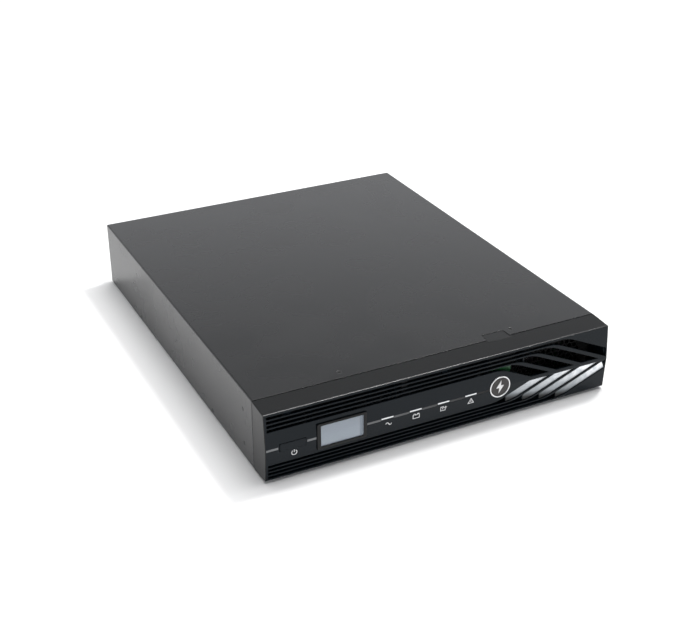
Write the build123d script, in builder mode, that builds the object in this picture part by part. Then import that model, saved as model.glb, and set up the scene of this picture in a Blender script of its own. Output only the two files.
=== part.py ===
"""Two-unit rack or tower uninterruptible power supply, as an assembly of separate pieces.

Millimetres. +Z is up, the front faces -Y, and the origin is the centre of the footprint on the ground.
"""

import math
import os

from build123d import *

# ---------------------------------------------------------------- driving dimensions
WIDTH = 438.0  # outside of the cover: a 19 inch case
HEIGHT = 87.0  # two rack units, less clearance
CASE_LENGTH = 512.0  # cover, from the bezel's seam to its rear edge
NOSE = 33.0  # bezel, from the seam to its crease
DISPLAY_PROUD = 1.0  # display frame in front of the crease
REAR_PROUD = 7.0  # breaker cap and ground stud behind the cover
SHEET = 1.2  # folded steel
GAP = 0.1  # between fixed sheets and mouldings
SLIDE_GAP = 0.35  # between parts that move past each other

LENGTH = DISPLAY_PROUD + NOSE + CASE_LENGTH + REAR_PROUD
HALF = WIDTH / 2
Y_FRONT = -LENGTH / 2
Y_CREASE = Y_FRONT + DISPLAY_PROUD
Y_SEAM = Y_CREASE + NOSE
Y_REAR = Y_SEAM + CASE_LENGTH
Y_PANEL = Y_REAR - 1.0  # outer face of the rear panel
Y_PANEL_IN = Y_PANEL - SHEET
INNER = HALF - SHEET  # inside of the cover's side walls
CEILING = HEIGHT - SHEET  # inside of the cover's top

# the bezel's bent face
Z_CREASE = 43.2
TOP_EDGE = (Y_SEAM - 29.8, 84.9)
BOTTOM_EDGE = (Y_SEAM - 30.7, 3.6)
BEZEL_WALL = 2.4
FACE_WALL = 3.5
SEAM_GAP = 1.0

# the grooves that run along the face and turn into the chevron
GROOVE_LEFT = -215.7
GROOVE_RIGHT = 217.6
GROOVE_COUNT = 4
BEND_RADIUS = 45.0
UPPER_GROOVE = {"top": 82.3, "pitch": 5.0, "height": 3.5, "stop": 45.6, "slope": 0.4557}
UPPER_TIP, UPPER_MOUTH, UPPER_STEP = 112.5, 24.7, 35.0
LOWER_GROOVE = {"top": 23.0, "pitch": 4.75, "height": 3.3, "stop": 40.8, "slope": 0.414}
LOWER_TIP, LOWER_MOUTH, LOWER_STEP = 110.8, 28.7, 35.0
CHANNEL_DEPTH = 2.4
STRIP_THICK = 1.2
STRIP_END = ((212.8, -3.9), (217.8, -13.4))  # slanting end of the last strip, on the face plane

# things on the face, as (left, right) and (bottom, top)
BUTTON_X, BUTTON_Z = (-202.5, -171.5), (37.6, 47.0)
DISPLAY_X, DISPLAY_Z = (-159.2, -99.7), (27.0, 59.0)
WINDOW_X, WINDOW_Z = (-154.6, -103.6), (30.0, 56.2)
LINE_Z = (40.9, 43.7)
LAMP_Z = (42.3, 44.1)
LAMP_LEFT = (-81.6, -46.4, -11.0, 24.4)
LAMP_LONG = 14.9
BADGE_X, BADGE_Z, BADGE_R = 70.5, 43.4, 13.5
BOLT = ((1.2, 8.0), (-5.0, -1.2), (-0.8, -1.2), (-1.6, -8.0), (5.0, 1.6), (0.9, 1.6))
TONGUE_X = (71.0, 100.0)
TONGUE_LONG = 12.3
NOTCH_GAP = 0.7  # between the tongue and the cover round it

# fasteners
M3, M4 = 1.5, 2.0  # shank radii
HEAD_R = 2.8
COVER_SCREW_TOP_X, COVER_SCREW_TOP_Y = 110.5, Y_SEAM + 12.0
FRONT_SCREW_Y, FRONT_SCREW_Z = Y_SEAM + 25.5, (19.3, 63.0)
SIDE_SCREW_Y, SIDE_SCREW_Z = (Y_SEAM + 121.7, Y_SEAM + 380.7), 7.0

BASE_SCREWS = ((125.0, Y_SEAM + 9.0), (196.0, Y_SEAM + 9.0), (107.5, Y_SEAM + 60.0), (107.5, Y_SEAM + 205.0))
BASE_SCREWS += tuple((x, Y_PANEL_IN - 7.0) for x in (-190.0, -60.0, 60.0, 190.0))

# battery pack
CELL = (151.0, 94.0, 65.0)
PACK_LEFT = -209.5
PACK_FRONT = Y_SEAM + 6.0
CELL_GAP = 6.0
TERMINAL_GAP = 14.0
PACK_FLOOR = 2.5
PACK_RIGHT = PACK_LEFT + 2 * CELL[0] + CELL_GAP
PACK_REAR = PACK_FRONT + 2 * CELL[1] + TERMINAL_GAP
TRAY_REAR = PACK_REAR + 6.0
LEAD_X = PACK_LEFT + CELL[0] + CELL_GAP / 2
TAB_X = (LEAD_X - 12.0, LEAD_X + 12.0)
TAB_Z = (PACK_FLOOR + 12.0, PACK_FLOOR + 53.0)
BAY_TOP = 70.5
BAY_RIGHT = PACK_RIGHT + 4.0
PEGS = ((-190.0, 79.5), (0.0, 79.5), (190.0, 79.5), (109.5, 8.0), (210.0, 8.0))
TRAY_SCREW_X, TRAY_SCREW_Z = (-160.0, 60.0), 72.9
PLUG_X, PLUG_Z = (-53.5, -40.5), (76.6, 81.4)
PEG_R, PEG_HOLE_R, BUSH_R = 2.4, 2.48, 4.0

# rear panel places, x and z of centres
FAN_X, FAN_Z, FAN_SIZE, FAN_DEEP = (84.0, 168.0), 43.5, 80.0, 25.0
OUTLET_X, OUTLET_Z, OUTLET_PITCH = -114.0, (25.0, 61.0), 32.0
INLET_X, INLET_Z = -189.0, 24.0
INLET_PINS = ((-7.0, -2.0), (0.0, 2.0), (7.0, -2.0))
BREAKER_X, BREAKER_Z = -189.0, 61.0
STUD_X, STUD_Z = -206.5, 43.0
CARD_X, CARD_Z, CARD_SIZE = -12.0, 66.0, (88.0, 26.0)
SERIAL_X, SERIAL_Z = -38.0, 38.0
USB_X, USB_Z = 3.0, 38.0
JACK_X, JACK_Z = -36.0, 16.0
EPO_X, EPO_Z = 6.0, 16.0

FAN_BORE, FAN_PITCH = 38.0, 35.75
CARD_SCREW = 48.0

# boards behind the face: the display board and, on the last two posts, the badge light board
Y_FACE_BOARD = Y_SEAM - 24.0
FACE_BOARD_X, FACE_BOARD_Z = (-207.0, 44.0), (26.0, 60.0)
LIGHT_BOARD_X, LIGHT_BOARD_Z = (51.0, 89.0), (46.0, 62.8)
BOARD_POSTS = ((-166.0, 54.0), (-166.0, 32.0), (-90.0, 54.0), (-90.0, 32.0))
BOARD_POSTS += ((40.0, 54.0), (40.0, 32.0), (55.0, 60.0), (85.0, 50.0))

# boards in the case
BOARD_Z, BOARD_THICK = 9.2, 1.6
MAIN_X, MAIN_Y = (-208.0, 208.0), (Y_SEAM + 256.0, Y_PANEL_IN - 42.0)
POWER_X, POWER_Y = (108.0, 212.0), (Y_SEAM + 14.0, Y_SEAM + 246.0)
HEAT_SINKS = ((-30.0, MAIN_Y[0] + 14.0, 160.0), (60.0, MAIN_Y[0] + 14.0, 160.0))
HEAT_SINKS += ((136.0, POWER_Y[0] + 20.0, 120.0),)
CAPACITORS = tuple((18.0, MAIN_Y[0] + 24.0 + 34.0 * row) for row in range(5))
CHOKES = ((128.0, MAIN_Y[0] + 30.0), (128.0, MAIN_Y[0] + 62.0), (-150.0, MAIN_Y[0] + 96.0))
TRANSFORMER = (160.0, POWER_Y[1] - 52.0)
RELAYS = tuple((-110.0 + 36.0 * column, MAIN_Y[1] - 20.0) for column in range(2))

os.makedirs("parts", exist_ok=True)


# ---------------------------------------------------------------- helpers
def save(piece, name):
    """Writes one finished piece under its own name."""
    piece.label = name
    export_step(piece, f"parts/{name}.step")


def block(x, y, z, mode=Mode.ADD):
    """A box between pairs of limits, in the builder that is open."""
    centre = tuple((low + high) / 2 for low, high in (x, y, z))
    with Locations(centre):
        Box(x[1] - x[0], y[1] - y[0], z[1] - z[0], mode=mode)


def rod(radius, start, end, mode=Mode.ADD):
    """A round bar from one point to another."""
    a, b = Vector(start), Vector(end)
    with Locations(Plane(origin=(a + b) / 2, z_dir=b - a)):
        Cylinder(radius, (b - a).length, mode=mode)


def around(centre, half):
    """Limits a half-width each side of a centre."""
    return (centre - half, centre + half)


def rear_plane(x, z, y=Y_PANEL):
    """A plane on the rear panel that looks out of it."""
    return Plane(origin=(x, y, z), x_dir=(-1, 0, 0), z_dir=(0, 1, 0))


def face_plane(edge):
    """The plane of one half of the bent face, with its origin on the crease."""
    up = Vector(0, Y_CREASE - edge[0], Z_CREASE - edge[1])
    if edge[1] > Z_CREASE:
        up = -up
    return Plane(origin=(0, Y_CREASE, Z_CREASE), x_dir=(1, 0, 0), z_dir=Vector(1, 0, 0).cross(up))


def screws(places, out, shank, head_r=HEAD_R, radius=M3, head_high=0.0):
    """A group of screws. Countersunk with a cross, or with a round head of head_high."""
    out = Vector(out)
    with BuildPart() as group:
        for place in places:
            top = Vector(place)
            with Locations(Plane(origin=top, z_dir=out)):
                if head_high:
                    with Locations((0, 0, head_high / 2)):
                        Cylinder(head_r, head_high)
                else:
                    with Locations((0, 0, -SHEET / 2)):
                        Cone(radius, head_r - 0.1, SHEET)
                with Locations((0, 0, -shank / 2)):
                    Cylinder(radius, shank)
                with Locations((0, 0, head_high)):
                    Box(head_r * 1.1, 0.7, 1.4, mode=Mode.SUBTRACT)
                    Box(0.7, head_r * 1.1, 1.4, mode=Mode.SUBTRACT)
    return group.part


def screw_hole(place, out, radius=M3, depth=SHEET, head_r=HEAD_R):
    """The countersunk hole for such a screw, through one sheet."""
    with Locations(Plane(origin=Vector(place), z_dir=Vector(out))):
        with Locations((0, 0, -depth / 2)):
            Cylinder(radius + GAP, depth * 3, mode=Mode.SUBTRACT)
            Cone(radius + GAP, head_r, depth, mode=Mode.SUBTRACT)


# ---------------------------------------------------------------- case
def make_top_cover():
    """Folded cover: a top and two long sides, with a notch for the bezel's tongue."""
    side_foot = 0.6
    with BuildPart() as cover:
        with BuildSketch(Plane.XZ.offset(-Y_SEAM)):
            with Locations((0, (HEIGHT + side_foot) / 2)):
                outer = Rectangle(WIDTH, HEIGHT - side_foot)
            fillet(outer.vertices().group_by(Axis.Z)[-1], 1.8)
            with Locations((0, (CEILING + side_foot) / 2)):
                inner = Rectangle(2 * INNER, CEILING - side_foot, mode=Mode.SUBTRACT)
        extrude(amount=-CASE_LENGTH)
        with BuildSketch(Plane.XY.offset(CEILING - 1)):
            left, right = TONGUE_X
            with BuildLine():
                Polyline(
                    (left - NOTCH_GAP, Y_SEAM - 1),
                    (left + 1 - NOTCH_GAP, Y_SEAM + TONGUE_LONG + NOTCH_GAP),
                    (right + NOTCH_GAP, Y_SEAM + TONGUE_LONG + NOTCH_GAP),
                    (right + 1 + NOTCH_GAP, Y_SEAM - 1),
                    close=True,
                )
            make_face()
        extrude(amount=3, mode=Mode.SUBTRACT)
        for side in (-1, 1):
            screw_hole((side * COVER_SCREW_TOP_X, COVER_SCREW_TOP_Y, HEIGHT), (0, 0, 1))
            for z in FRONT_SCREW_Z:
                screw_hole((side * HALF, FRONT_SCREW_Y, z), (side, 0, 0))
            for y in SIDE_SCREW_Y:
                screw_hole((side * HALF, y, SIDE_SCREW_Z), (side, 0, 0))
    save(cover.part, "top_cover")


def make_case_screws():
    """The countersunk screws of the case: two on top, four a side and eight underneath."""
    top = [(side * COVER_SCREW_TOP_X, COVER_SCREW_TOP_Y, HEIGHT) for side in (-1, 1)]
    groups = [(top, (0, 0, 1), 7.0)]
    for side in (-1, 1):
        front = [(side * HALF, FRONT_SCREW_Y, z) for z in FRONT_SCREW_Z]
        along = [(side * HALF, y, SIDE_SCREW_Z) for y in SIDE_SCREW_Y]
        groups.append((front + along, (side, 0, 0), 7.0))
    groups.append(([(x, y, 0.0) for x, y in BASE_SCREWS], (0, 0, -1), 3.2))
    with BuildPart() as every:
        for places, out, shank in groups:
            add(screws(places, out, shank))
    save(every.part, "case_screws")


def make_chassis_base():
    """Folded base: a floor with a low flange down each side."""
    flange_top, flange_front = 24.0, Y_SEAM + 48.0
    outer = INNER - GAP
    with BuildPart() as base:
        block((-outer, outer), (Y_SEAM + 1.5, Y_PANEL_IN - GAP), (0, SHEET))
        for side in (-1, 1):
            x = sorted((side * outer, side * (outer - SHEET)))
            block(x, (flange_front, Y_PANEL_IN - GAP), (0, flange_top))
            for y in SIDE_SCREW_Y:
                hole = [(side * x, y, SIDE_SCREW_Z) for x in (outer - 3, HALF)]
                rod(M3 + GAP, *hole, Mode.SUBTRACT)
        for x, y in BASE_SCREWS:
            screw_hole((x, y, 0), (0, 0, -1))
    save(base.part, "chassis_base")


def make_front_bulkhead():
    """The sheet behind the bezel: a battery opening, an air intake and five bushed peg holes."""
    front, outer = Y_SEAM + 1.5, INNER - GAP
    top = CEILING - GAP
    with BuildPart() as bulkhead:
        block((-outer, outer), (front, front + SHEET), (SHEET + GAP, top))
        block((-outer + 1, outer - 1), (front, Y_SEAM + 22.0), (top - SHEET, top))
        for side in (-1, 1):
            x = sorted((side * outer, side * (outer - SHEET)))
            block(x, (front, Y_SEAM + 46.0), (SHEET + GAP, top))
            for z in FRONT_SCREW_Z:
                hole = [(side * x, FRONT_SCREW_Y, z) for x in (outer - 3, HALF)]
                rod(M3 + GAP, *hole, Mode.SUBTRACT)
            spot = (side * COVER_SCREW_TOP_X, COVER_SCREW_TOP_Y)
            rod(M3 + GAP, (*spot, top - 4), (*spot, HEIGHT), Mode.SUBTRACT)
        block((BAY_RIGHT + 10, 212.0), (front, Y_SEAM + 16.0), (SHEET + GAP, 2 * SHEET + GAP))
        block((PACK_LEFT - 4, BAY_RIGHT), (front - 1, front + 3), (0, BAY_TOP), Mode.SUBTRACT)
        for x, y in BASE_SCREWS[:2]:
            rod(M3 + GAP, (x, y, 0), (x, y, 4), Mode.SUBTRACT)
        for x in TRAY_SCREW_X:
            rod(M3 + GAP, (x, front - 1, TRAY_SCREW_Z), (x, front + 3, TRAY_SCREW_Z), Mode.SUBTRACT)
        with BuildSketch(Plane.XZ.offset(-front)):
            with Locations((156.0, 43.5)):
                with GridLocations(7.4, 12.8, 13, 5):
                    RegularPolygon(3.2, 6, rotation=30)
                with GridLocations(7.4, 12.8, 12, 4):
                    RegularPolygon(3.2, 6, rotation=30)
        extrude(amount=-SHEET, mode=Mode.SUBTRACT)
        for x, z in PEGS:
            rod(BUSH_R - 0.8, (x, front - 1, z), (x, front + 3, z), Mode.SUBTRACT)
        block((PLUG_X[0] - 2.4, PLUG_X[1] + 2.4), (front - 1, front + 3), (75.4, 83.0), Mode.SUBTRACT)
    save(bulkhead.part, "front_bulkhead")
    with BuildPart() as grommets:
        for x, z in PEGS:
            rod(BUSH_R, (x, front - 0.9, z), (x, front - GAP, z))
            rod(BUSH_R - 0.9, (x, front - GAP, z), (x, front + SHEET + 2, z))
            rod(PEG_HOLE_R, (x, front - 2, z), (x, front + 8, z), Mode.SUBTRACT)
    save(grommets.part, "peg_bushes")


def make_partition():
    """The wall between the battery bay and the air channel, with a foot."""
    x = BAY_RIGHT + 0.5
    with BuildPart() as wall:
        block((x, x + SHEET), (Y_SEAM + 4.0, Y_SEAM + 248.0), (SHEET + GAP, 80.0))
        block((x, x + 8), (Y_SEAM + 30.0, Y_SEAM + 240.0), (SHEET + GAP, 2 * SHEET + GAP))
        for place in BASE_SCREWS[2:4]:
            rod(M3 + GAP, (*place, 0), (*place, 4), Mode.SUBTRACT)
    save(wall.part, "bay_partition")


# ---------------------------------------------------------------- bezel
def groove_sketch(rule, index, tip, mouth, step, upper):
    """One groove: a straight run from the left, a rounded bend, and a slanting end on the crease band."""
    top = rule["top"] - rule["pitch"] * index - Z_CREASE
    bottom = top - rule["height"]
    stop = rule["stop"] - Z_CREASE
    order = GROOVE_COUNT - 1 - index if upper else index
    near = tip + step * order
    far = near + mouth
    top_end, bottom_end = (far, near) if upper else (near, far)
    top_bend = top_end - abs(top - stop) / rule["slope"]
    bottom_bend = bottom_end - abs(bottom - stop) / rule["slope"]
    with BuildSketch(mode=Mode.PRIVATE) as groove:
        with BuildLine():
            left = GROOVE_LEFT
            FilletPolyline((left, top), (top_bend, top), (top_end, stop), radius=BEND_RADIUS)
            Line((top_end, stop), (bottom_end, stop))
            FilletPolyline((bottom_end, stop), (bottom_bend, bottom), (left, bottom), radius=BEND_RADIUS)
            Line((left, bottom), (left, top))
        make_face()
        with Locations((GROOVE_RIGHT - 250, 0)):
            Rectangle(500, 120, mode=Mode.INTERSECT)
    return groove.sketch, bottom_bend


def upper_groove(index):
    """A groove in the top half of the face."""
    return groove_sketch(UPPER_GROOVE, index, UPPER_TIP, UPPER_MOUTH, UPPER_STEP, True)


def lower_groove(index):
    """A groove in the bottom half of the face, whose slanting end holds a bright strip."""
    return groove_sketch(LOWER_GROOVE, index, LOWER_TIP, LOWER_MOUTH, LOWER_STEP, False)


def bezel_profile(wall=0.0, face_wall=0.0, back=0.0):
    """The bezel's side outline, drawn in by a wall thickness."""
    Polyline(
        (Y_SEAM - SEAM_GAP + back, HEIGHT - 0.3 - wall),
        (TOP_EDGE[0] + face_wall, TOP_EDGE[1] - wall),
        (Y_CREASE + face_wall, Z_CREASE),
        (BOTTOM_EDGE[0] + face_wall, BOTTOM_EDGE[1] + wall),
        (Y_SEAM - SEAM_GAP + back, 0.8 + wall),
        close=True,
    )


def back_of_face(z):
    """How far back the inner side of the face wall is at a height."""
    edge = TOP_EDGE if z > Z_CREASE else BOTTOM_EDGE
    share = (z - Z_CREASE) / (edge[1] - Z_CREASE)
    return Y_CREASE + FACE_WALL + share * (edge[0] - Y_CREASE)


def make_bezel():
    """The moulded front: a shell with a bent, grooved face, pegs behind and a tongue on top."""
    upper, lower = face_plane(TOP_EDGE), face_plane(BOTTOM_EDGE)
    rear = Y_SEAM - SEAM_GAP
    webs = (-208.0, -162.5, -92.0, -62.0, 6.0, 56.0, 104.0)
    with BuildPart() as bezel:
        with BuildSketch(Plane.YZ):
            with BuildLine():
                bezel_profile()
            make_face()
        extrude(amount=HALF, both=True)
        front_edges = bezel.edges().filter_by(Axis.X).group_by(Axis.Y)
        rim = [e for group in front_edges[1:3] for e in group]
        rim += [e for e in bezel.edges() if abs(e.center().X) > HALF - 0.01 and e.center().Z > TOP_EDGE[1]]
        fillet(rim, 0.9)
        with BuildSketch(Plane.YZ):
            with BuildLine():
                bezel_profile(BEZEL_WALL, FACE_WALL, 1.0)
            make_face()
        extrude(amount=HALF - BEZEL_WALL, both=True, mode=Mode.SUBTRACT)
        # stiffening webs behind the grooves, above and below the display board
        for x in webs:
            for low, high in ((63.0, 83.5), (5.0, 24.0)):
                with BuildSketch(Plane.YZ.offset(x - 1)):
                    with BuildLine():
                        Polyline(
                            (back_of_face(low), low),
                            (back_of_face(high), high),
                            (rear - 12, high),
                            (rear - 12, low),
                            close=True,
                        )
                    make_face()
                extrude(amount=2)
        for index in range(GROOVE_COUNT):
            slot, _ = upper_groove(index)
            with BuildSketch(upper):
                add(slot)
            extrude(amount=-FACE_WALL - 0.4, mode=Mode.SUBTRACT)
            channel, start = lower_groove(index)
            with BuildSketch(lower):
                add(channel)
            extrude(amount=-CHANNEL_DEPTH, mode=Mode.SUBTRACT)
            with BuildSketch(lower):
                add(channel)
                with Locations((start - 8 - 250, 0)):
                    Rectangle(500, 120, mode=Mode.INTERSECT)
            extrude(amount=-FACE_WALL - 0.4, mode=Mode.SUBTRACT)
        # seats in the face
        block(BUTTON_X, (Y_CREASE - 1, Y_CREASE + 6), BUTTON_Z, Mode.SUBTRACT)
        block(DISPLAY_X, (Y_CREASE - 1, Y_CREASE + 6), DISPLAY_Z, Mode.SUBTRACT)
        for left, right in trim_spans():
            block((left, right), (Y_CREASE - 1, Y_CREASE + 1.2), LINE_Z, Mode.SUBTRACT)
        for left in LAMP_LEFT:
            block((left, left + LAMP_LONG), (Y_CREASE - 1, Y_CREASE + 6), LAMP_Z, Mode.SUBTRACT)
        rod(BADGE_R, (BADGE_X, Y_CREASE - 1, BADGE_Z), (BADGE_X, Y_CREASE + 2, BADGE_Z), Mode.SUBTRACT)
        # pegs on bosses, posts for the boards and the block that carries the plug
        for x, z in PEGS:
            rod(4.0, (x, Y_CREASE + 5.4, z), (x, rear - 0.2, z))
            rod(PEG_R, (x, rear - 2, z), (x, Y_SEAM + 9.0, z))
        for x, z in BOARD_POSTS:
            rod(2.9, (x, Y_CREASE + 3, z), (x, Y_FACE_BOARD, z))
            rod(1.1, (x, Y_CREASE + 5, z), (x, Y_FACE_BOARD + 1, z), Mode.SUBTRACT)
        block((PLUG_X[0] - 2, PLUG_X[1] + 2), (rear - 12, rear - 0.2), (PLUG_Z[0] - 1, 84.8))
        block(PLUG_X, (rear - 4, rear + 1), PLUG_Z, Mode.SUBTRACT)
        # tongue
        with BuildSketch(Plane.XY.offset(CEILING + 0.05)):
            with BuildLine():
                Polyline(
                    (TONGUE_X[0] - 0.2, rear - 3),
                    (TONGUE_X[0] + 1, Y_SEAM + TONGUE_LONG),
                    (TONGUE_X[1], Y_SEAM + TONGUE_LONG),
                    (TONGUE_X[1] + 1, rear - 3),
                    close=True,
                )
            make_face()
        extrude(amount=0.9)
    save(bezel.part, "front_bezel")


def trim_spans():
    """Left and right of each bright line segment in the crease."""
    spans = [(GROOVE_LEFT - 2.0, BUTTON_X[0] - 1.3), (BUTTON_X[1] + 1.0, DISPLAY_X[0] - 0.4)]
    edges = [DISPLAY_X[1] + 0.6]
    for left in LAMP_LEFT:
        edges += [left - 0.4, left + LAMP_LONG + 0.6]
    edges.append(BADGE_X - BADGE_R - 0.4)
    return spans + list(zip(edges[0::2], edges[1::2]))


def beyond_strip_end():
    """A region of the face plane to the right of the last strip's slanting end."""
    (top_x, top), (low_x, low) = STRIP_END
    across, down = (low_x - top_x) / 2, (top - low) / 2
    upper, lower = (top_x - across, top + down), (low_x + across, low - down)
    return upper, lower, (HALF + 10, lower[1]), (HALF + 10, upper[1])


def make_bezel_trim():
    """Bright pieces set into the face: the crease line, the lamps' light pipes, strips and badge."""
    with BuildPart() as line:
        z = (LINE_Z[0] + GAP, LINE_Z[1] - GAP)
        for left, right in trim_spans():
            block((left + GAP, right - GAP), (Y_CREASE + 0.1, Y_CREASE + 1.2), z)
    save(line.part, "crease_line")
    flange = (Y_CREASE + FACE_WALL + 0.2, Y_CREASE + FACE_WALL + 1.4)
    with BuildPart() as pipes:
        for left in LAMP_LEFT:
            x = (left + GAP, left + LAMP_LONG - GAP)
            block(x, (Y_CREASE, Y_FACE_BOARD - 1.1), (LAMP_Z[0] + GAP, LAMP_Z[1] - GAP))
            block((x[0] - 1, x[1] + 1), flange, around(LAMP_Z[0] + 1, 2.2))
    save(pipes.part, "indicator_light_pipes")
    lower = face_plane(BOTTOM_EDGE)
    with BuildPart() as strips:
        for index in range(GROOVE_COUNT):
            channel, start = lower_groove(index)
            with BuildSketch(lower.offset(-CHANNEL_DEPTH)):
                add(channel)
                offset(amount=-0.15)
                with Locations((start - 7.8 + 250, 0)):
                    Rectangle(500, 120, mode=Mode.INTERSECT)
                Polygon(*beyond_strip_end(), align=None, mode=Mode.SUBTRACT)
            extrude(amount=STRIP_THICK)
    save(strips.part, "accent_strips")
    with BuildPart() as ring:
        with BuildSketch(Plane.XZ.offset(-Y_CREASE - 2.0)):
            with Locations((BADGE_X, BADGE_Z)):
                Circle(BADGE_R - GAP)
                Circle(BADGE_R - 1.5, mode=Mode.SUBTRACT)
        extrude(amount=2.4)
        fillet(ring.edges().filter_by(GeomType.CIRCLE).group_by(Axis.Y)[0], 0.4)
    save(ring.part, "badge_ring")
    with BuildPart() as disc:
        rod(BADGE_R - 1.6, (BADGE_X, Y_CREASE + 0.3, BADGE_Z), (BADGE_X, Y_CREASE + 2.0, BADGE_Z))
    save(disc.part, "badge_disc")
    with BuildPart() as bolt:
        with BuildSketch(Plane.XZ.offset(-Y_CREASE - 0.3)):
            with BuildLine():
                Polyline(*[(BADGE_X + x, BADGE_Z + z) for x, z in BOLT], close=True)
            make_face()
        extrude(amount=0.4)
    save(bolt.part, "badge_bolt_symbol")


def make_display():
    """The display: frame, clear window, panel, long board and the badge's light board."""
    wide, high = DISPLAY_X[1] - DISPLAY_X[0] - 0.3, DISPLAY_Z[1] - DISPLAY_Z[0] - 0.3
    centre = (sum(DISPLAY_X) / 2, sum(DISPLAY_Z) / 2)
    window = (sum(WINDOW_X) / 2, sum(WINDOW_Z) / 2)
    open_wide, open_high = WINDOW_X[1] - WINDOW_X[0], WINDOW_Z[1] - WINDOW_Z[0]
    with BuildPart() as frame:
        with BuildSketch(Plane.XZ.offset(-Y_FRONT)):
            with Locations(centre):
                RectangleRounded(wide, high, 1.9)
            with Locations(window):
                RectangleRounded(open_wide, open_high, 0.8, mode=Mode.SUBTRACT)
        extrude(amount=-5.0)
        fillet(frame.faces().sort_by(Axis.Y)[0].edges(), 0.5)
    save(frame.part, "display_frame")
    layers = (("display_window", 0.6, 1.4), ("display_panel", 2.1, 3.0))
    for name, depth, thick in layers:
        with BuildPart() as layer:
            with BuildSketch(Plane.XZ.offset(-Y_FRONT - depth)):
                with Locations(window):
                    RectangleRounded(open_wide - 0.2, open_high - 0.2, 0.7)
            extrude(amount=-thick)
        save(layer.part, name)
    boards = (
        ("display_board", FACE_BOARD_X, FACE_BOARD_Z, BOARD_POSTS[:6]),
        ("badge_light_board", LIGHT_BOARD_X, LIGHT_BOARD_Z, BOARD_POSTS[6:]),
    )
    for name, x, z, posts in boards:
        with BuildPart() as board:
            block(x, (Y_FACE_BOARD, Y_FACE_BOARD + BOARD_THICK), z)
            for a, b in posts:
                rod(1.2, (a, Y_FACE_BOARD - 1, b), (a, Y_FACE_BOARD + 3, b), Mode.SUBTRACT)
        save(board.part, name)
    heads = [(x, Y_FACE_BOARD + BOARD_THICK, z) for x, z in BOARD_POSTS]
    save(screws(heads, (0, 1, 0), 4.6, 2.4, 1.0, 1.5), "face_board_screws")


def make_front_plug():
    """The plug on the bezel, its ribbon, and the socket in the sheet behind."""
    x, z = PLUG_X, PLUG_Z
    rear = Y_SEAM - SEAM_GAP
    with BuildPart() as plug:
        block((x[0] + GAP, x[1] - GAP), (rear - 4, Y_SEAM + 6), (z[0] + GAP, z[1] - GAP))
        for place in range(5):
            slot = around(x[0] + 2.5 + 2 * place, 0.5)
            block(slot, (Y_SEAM + 4.5, Y_SEAM + 7), around(sum(z) / 2, 1.5), Mode.SUBTRACT)
    save(plug.part, "display_plug")
    board = Y_FACE_BOARD + BOARD_THICK
    with BuildPart() as ribbon:
        block((-51.0, -43.0), (board, board + 5), (52.0, 57.0))
        block((-50.5, -43.5), (board + 2, board + 2.6), (57.0, 79.4))
        block((-50.5, -43.5), (board + 2, rear - 12), (78.8, 79.4))
    save(ribbon.part, "display_ribbon")
    with BuildPart() as socket:
        block((x[0] - 2.2, x[1] + 2.2), (Y_SEAM + 1.6, Y_SEAM + 12), (75.5, 82.9))
        block((x[0] - 4.2, x[1] + 4.2), (Y_SEAM + 2.8, Y_SEAM + 5), (75.5, 82.9))
        block((x[0] - 0.4, x[1] + 0.4), (Y_SEAM + 1, Y_SEAM + 7.4), (z[0] - 0.4, z[1] + 0.4), Mode.SUBTRACT)
    save(socket.part, "display_socket")


def make_power_button():
    """The sprung push button and the switch behind it."""
    x, z = BUTTON_X, BUTTON_Z
    middle = (sum(x) / 2, sum(z) / 2)
    wall = Y_CREASE + FACE_WALL
    with BuildPart() as button:
        with BuildSketch(Plane.XZ.offset(-Y_CREASE + 0.5)):
            with Locations(middle):
                RectangleRounded(x[1] - x[0] - 0.7, z[1] - z[0] - 0.7, 1.2)
        extrude(amount=-5.4)
        fillet(button.faces().sort_by(Axis.Y)[0].edges(), 0.5)
        with Locations((middle[0], wall + 1.4, middle[1])):
            Box(x[1] - x[0] + 3, 1.2, z[1] - z[0] + 3)
        rod(1.72, (middle[0], wall + 1, middle[1]), (middle[0], Y_FACE_BOARD - 2.2, middle[1]))
    save(button.part, "power_button")
    with BuildPart() as switch:
        block(around(middle[0], 4.0), (Y_FACE_BOARD - 2.4, Y_FACE_BOARD), around(middle[1], 4.0))
        bore = [(middle[0], Y_FACE_BOARD - depth, middle[1]) for depth in (3.0, 1.2)]
        rod(1.79, *bore, Mode.SUBTRACT)
    save(switch.part, "power_switch")


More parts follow.
